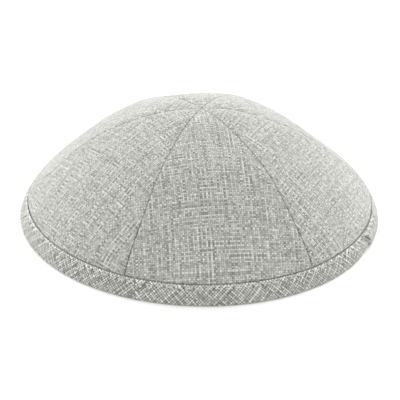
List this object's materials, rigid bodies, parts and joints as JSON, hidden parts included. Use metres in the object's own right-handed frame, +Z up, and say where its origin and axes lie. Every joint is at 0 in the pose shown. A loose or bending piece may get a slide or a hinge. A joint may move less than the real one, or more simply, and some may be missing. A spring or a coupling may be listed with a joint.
{
  "type": "kippah",
  "caption": "Low domed cloth skullcap of pointed linen panels sewn edge to edge, with a bias tape folded round the rim.",
  "frame": {"origin": "middle of the rim, on the surface that the rim's fold rests on", "axes": "+Z up through the apex, -Y towards the middle of the front panel, +X to the right of someone facing that panel"},
  "size_m": [0.1778, 0.1754, 0.0554],
  "materials": {
    "panel_linen": "matte plain-weave linen, light grey with pale and dark slubs",
    "bias_tape": "the same linen cut on the bias, matte"
  },
  "bodies": {
    "root": {"panel_front": "panel_linen", "panel_front_right": "panel_linen", "panel_back_right": "panel_linen", "panel_back": "panel_linen", "panel_back_left": "panel_linen", "panel_front_left": "panel_linen", "rim_binding": "bias_tape"}
  },
  "joints": []
}
